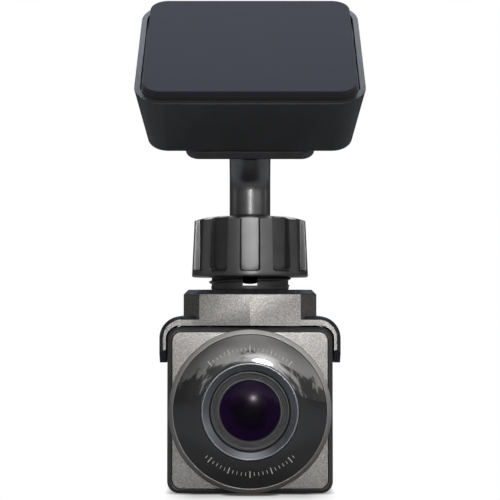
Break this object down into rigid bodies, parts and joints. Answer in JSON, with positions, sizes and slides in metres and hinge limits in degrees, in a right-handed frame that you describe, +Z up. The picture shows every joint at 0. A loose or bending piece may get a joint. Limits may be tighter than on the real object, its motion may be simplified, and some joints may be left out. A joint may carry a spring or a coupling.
{
  "type": "dash camera",
  "caption": "Square dash camera on a leaning adhesive windscreen mount, held by a ball stem in a split collet with a fluted clamp nut.",
  "frame": {"origin": "middle of the adhesive face that sticks to the windscreen", "axes": "the lens looks along -Y, +X is to the right of someone who faces the lens, +Z is up; the adhesive face leans, and looks along (0, -0.6626, 0.7490)"},
  "size_m": [0.051, 0.041, 0.1129],
  "materials": {
    "pad_foam": "matt closed-cell acrylic foam tape, slate grey with a violet cast",
    "slate_plastic": "fine-textured satin moulding, slate black",
    "black_plastic": "fine-textured satin moulding, near black",
    "nut_plastic": "satin moulded nylon, charcoal",
    "stem_metal": "satin black lacquer over turned metal",
    "sparkle_paint": "warm grey paint with fine metal flake",
    "trim_metal": "fine-turned satin ring",
    "gloss_black": "polished black acrylic",
    "dark_metal": "matt black anodised",
    "lens_glass": "coated optical glass with a violet cast",
    "clear_plastic": "clear light guide",
    "seat_plastic": "self-lubricating black plastic",
    "screw_steel": "plated steel",
    "board": "green solder mask on glass-fibre laminate",
    "chip_plastic": "moulded black epoxy",
    "aluminium": "bare aluminium"
  },
  "bodies": {
    "windscreen_mount": {"adhesive_pad": "pad_foam", "pad_carrier": "seat_plastic", "bracket_shell": "slate_plastic", "stem_foot": "black_plastic", "foot_screw_1": "screw_steel", "foot_screw_2": "screw_steel", "stem_screw": "screw_steel", "ball_stem": "stem_metal"},
    "lower_seat": {"lower_ball_seat": "seat_plastic"},
    "upper_seat": {"upper_ball_seat": "seat_plastic"},
    "camera": {"split_collet": "black_plastic", "saddle": "sparkle_paint", "collet_screw": "screw_steel", "saddle_screw_1": "screw_steel", "saddle_screw_2": "screw_steel", "saddle_screw_3": "screw_steel", "saddle_screw_4": "screw_steel", "main_housing": "black_plastic", "front_face_plate": "sparkle_paint", "rear_cover": "black_plastic", "cover_screw_1": "screw_steel", "cover_screw_2": "screw_steel", "cover_screw_3": "screw_steel", "cover_screw_4": "screw_steel", "trim_ring": "trim_metal", "lens_fascia": "gloss_black", "funnel_ring": "dark_metal", "retaining_ring": "dark_metal", "front_glass": "lens_glass", "lens_barrel": "dark_metal", "inner_element": "lens_glass", "rear_element": "lens_glass", "lens_holder": "chip_plastic", "ir_filter": "lens_glass", "image_sensor": "chip_plastic", "sensor_board": "board", "board_connector": "chip_plastic", "main_board": "board", "processor": "chip_plastic", "heat_spreader": "aluminium", "supercapacitor": "seat_plastic", "antenna_module": "aluminium", "microphone": "aluminium", "speaker": "chip_plastic", "usb_socket": "screw_steel", "card_socket": "screw_steel", "event_switch": "chip_plastic", "power_switch": "chip_plastic", "status_light_guide": "clear_plastic"},
    "thrust_ring": {"thrust_ring": "screw_steel"},
    "clamp_nut": {"clamp_nut": "nut_plastic"},
    "event_button": {"event_button": "black_plastic"},
    "power_button": {"power_button": "black_plastic"},
    "memory_card": {"memory_card": "chip_plastic"}
  },
  "joints": [
    {"name": "ball_pitch", "type": "hinge", "parent": "windscreen_mount", "child": "lower_seat", "pos_m": [0, 0.00844, -0.04783], "axis": [1, 0, 0], "range_deg": [-15, 15]},
    {"name": "ball_roll", "type": "hinge", "parent": "lower_seat", "child": "upper_seat", "pos_m": [0, 0.00844, -0.04783], "axis": [0, 1, 0], "range_deg": [-15, 15]},
    {"name": "ball_yaw", "type": "hinge", "parent": "upper_seat", "child": "camera", "pos_m": [0, 0.00844, -0.04783], "axis": [0, 0, 1], "continuous": true},
    {"name": "nut_turn", "type": "hinge", "parent": "thrust_ring", "child": "clamp_nut", "pos_m": [0, 0.00844, -0.04583], "axis": [0, 0, 1], "range_deg": [0, 360]},
    {"name": "nut_lift", "type": "slide", "parent": "camera", "child": "thrust_ring", "axis": [0, 0, 1], "range_m": [0, 0.00175]},
    {"name": "event_press", "type": "slide", "parent": "camera", "child": "event_button", "axis": [0, -1, 0], "range_m": [0, 0.0004], "stiffness_N_per_m": 800, "springref_m": -0.0005},
    {"name": "power_press", "type": "slide", "parent": "camera", "child": "power_button", "axis": [1, 0, 0], "range_m": [0, 0.0004], "stiffness_N_per_m": 800, "springref_m": -0.0005},
    {"name": "card_slide", "type": "slide", "parent": "camera", "child": "memory_card", "axis": [1, 0, 0], "range_m": [0, 0.013]}
  ],
  "couplings": [
    {"joint": "nut_turn", "follows": "nut_lift", "rad_per_m": 3590.4}
  ]
}
